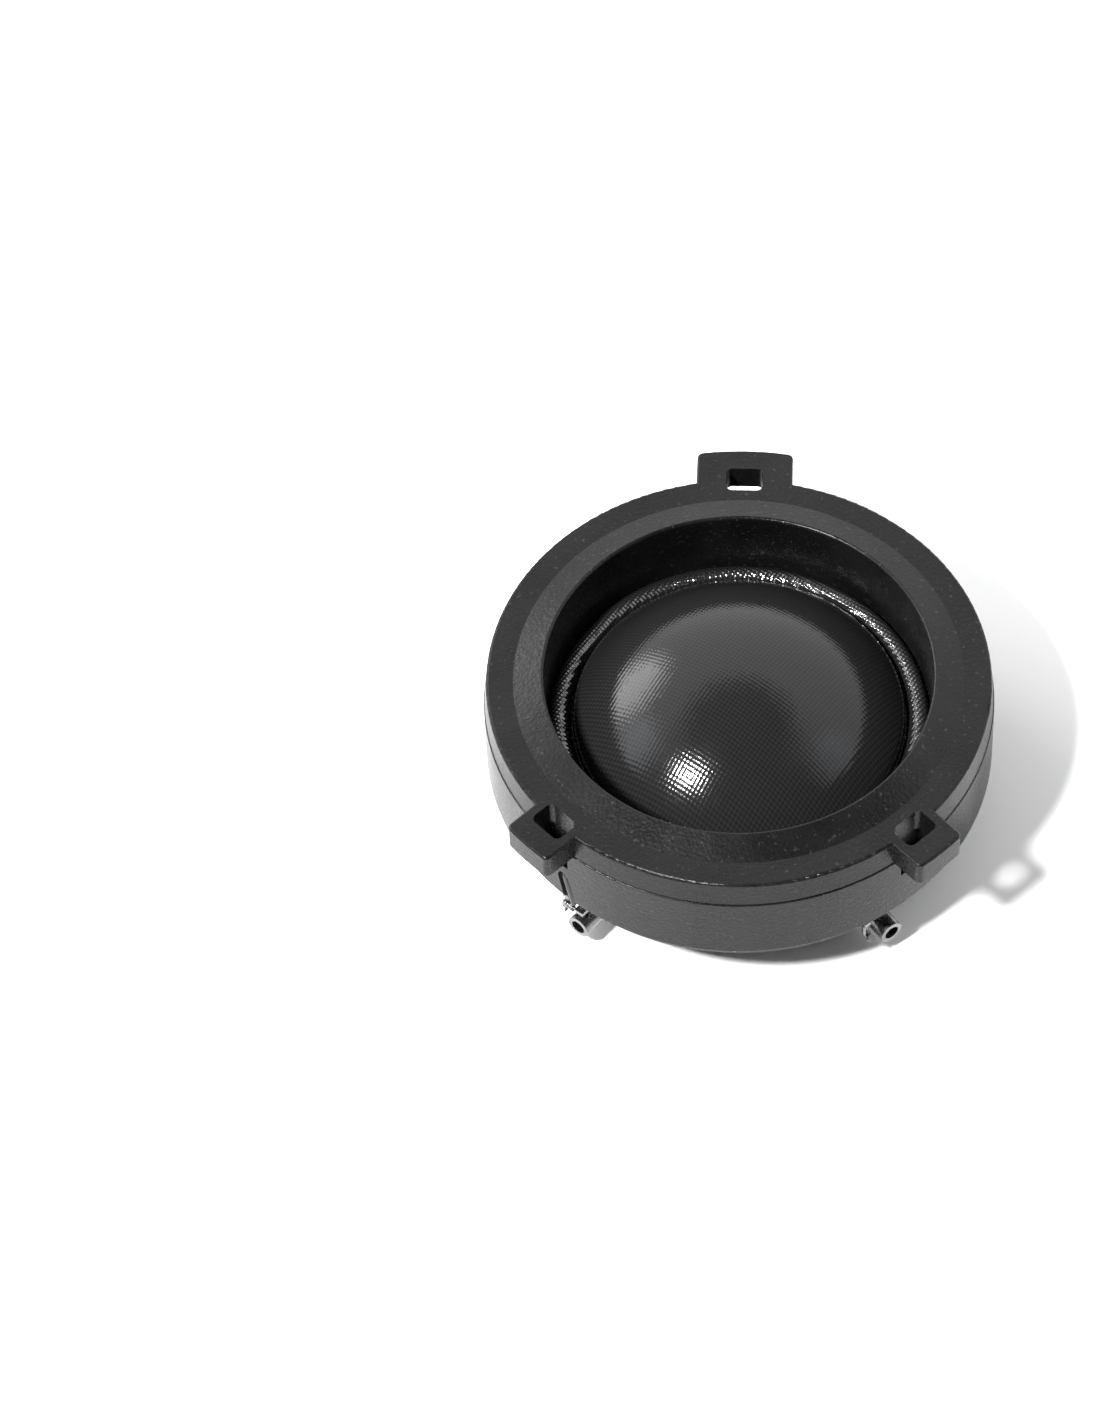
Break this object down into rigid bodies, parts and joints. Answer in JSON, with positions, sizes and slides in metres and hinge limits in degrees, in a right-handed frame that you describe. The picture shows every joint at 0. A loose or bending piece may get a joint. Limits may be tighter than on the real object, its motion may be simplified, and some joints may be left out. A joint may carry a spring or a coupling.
{
  "type": "car tweeter",
  "caption": "Round black silk-dome tweeter in a moulded body with slotted mounting tabs, a raised cone rim and two plated solder terminals under it.",
  "frame": {"origin": "centre of the magnet cup's rear face, on the dome's axis", "axes": "+Z out of the dome; +Y towards the wide tab; the two narrow tabs and the terminals are on the -Y side"},
  "size_m": [0.0395, 0.0422, 0.0155],
  "materials": {
    "moulded_black": "fine moulded grain",
    "coated_silk": "glossy damping coat on a fine weave",
    "adhesive": "glossy",
    "coil_former": "satin",
    "copper_wire": "enamelled",
    "zinc_steel": "satin zinc plate",
    "nickel_magnet": "bright nickel plate",
    "felt": "matte",
    "laminate": "matte",
    "tinned_metal": "bright tin plate",
    "lead_insulation": "satin",
    "brass_strip": "satin",
    "solder": "satin"
  },
  "bodies": {
    "root": {"front_ring": "moulded_black", "clamp_ring": "moulded_black", "surround": "coated_silk", "diaphragm_carrier": "moulded_black", "yoke_cup": "zinc_steel", "magnet": "nickel_magnet", "top_plate": "zinc_steel", "damping_felt": "felt", "rear_housing": "moulded_black", "adhesive_ring": "adhesive", "terminal_board": "laminate", "terminal_lug_left": "tinned_metal", "terminal_lug_right": "tinned_metal", "lead_wire_left": "lead_insulation", "lead_wire_right": "lead_insulation", "lead_pad_left": "brass_strip", "lead_pad_right": "brass_strip", "coil_lead_left": "copper_wire", "coil_lead_right": "copper_wire", "terminal_rivets": "zinc_steel", "solder_joint_left": "solder", "solder_joint_right": "solder"},
    "diaphragm": {"dome": "coated_silk", "dome_bond_ring": "adhesive", "coil_former": "coil_former", "voice_coil": "copper_wire"}
  },
  "joints": [
    {"name": "diaphragm_slide", "type": "slide", "parent": "root", "child": "diaphragm", "axis": [0, 0, 1], "range_m": [-0.00025, 0.00025], "stiffness_N_per_m": 500, "deforming": ["surround", "coil_lead_left", "coil_lead_right"]}
  ]
}
